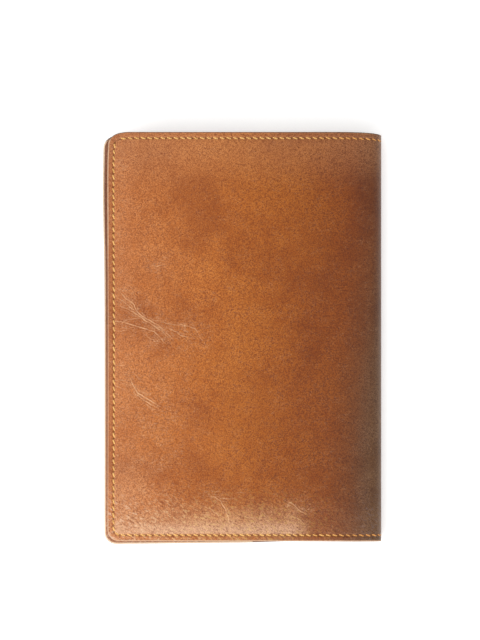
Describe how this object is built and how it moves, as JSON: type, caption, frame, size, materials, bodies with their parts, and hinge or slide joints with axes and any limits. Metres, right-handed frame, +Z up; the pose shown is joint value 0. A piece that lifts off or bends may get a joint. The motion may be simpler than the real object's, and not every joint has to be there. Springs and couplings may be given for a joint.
{
  "type": "leather notebook cover",
  "caption": "Stitched leather slip cover with inner sleeve flaps, closed around a hardcover notebook, opening flat at its spine folds.",
  "frame": {"origin": "middle of the base of the closed cover's bounding box, on the surface that it lies on", "axes": "+X towards the spine, +Y towards the head, +Z up out of the front cover"},
  "size_m": [0.1516, 0.2242, 0.016],
  "materials": {
    "cover_leather": "waxed pull-up leather, satin",
    "flap_leather": "smooth leather, satin",
    "lining_suede": "suede, matt",
    "thread": "waxed thread",
    "book_cloth": "coated book cloth",
    "paper": "uncoated cream paper, matt"
  },
  "bodies": {
    "back": {"back_cover": "cover_leather", "back_lining": "lining_suede", "back_flap": "flap_leather", "back_stitching": "thread", "notebook_back_board": "book_cloth", "back_pages": "paper"},
    "spine": {"spine_cover": "cover_leather", "spine_lining": "lining_suede", "spine_head_stitching": "thread", "spine_tail_stitching": "thread", "notebook_spine": "book_cloth"},
    "front": {"front_cover": "cover_leather", "front_lining": "lining_suede", "front_flap": "flap_leather", "front_stitching": "thread", "notebook_front_board": "book_cloth"},
    "leaves": {"front_pages": "paper"}
  },
  "joints": [
    {"name": "spine_fold", "type": "hinge", "parent": "back", "child": "spine", "pos_m": [0.07382, 0, 0.00197], "axis": [0, 1, 0], "range_deg": [0, 90]},
    {"name": "front_fold", "type": "hinge", "parent": "spine", "child": "front", "pos_m": [0.07382, 0, 0.01403], "axis": [0, 1, 0], "range_deg": [0, 90]},
    {"name": "leaf_turn", "type": "hinge", "parent": "back", "child": "leaves", "pos_m": [0.07119, 0, 0.008], "axis": [0, 1, 0], "range_deg": [0, 180]}
  ],
  "couplings": [
    {"joint": "front_fold", "follows": "spine_fold", "ratio": 1},
    {"joint": "leaf_turn", "follows": "spine_fold", "ratio": 2}
  ]
}
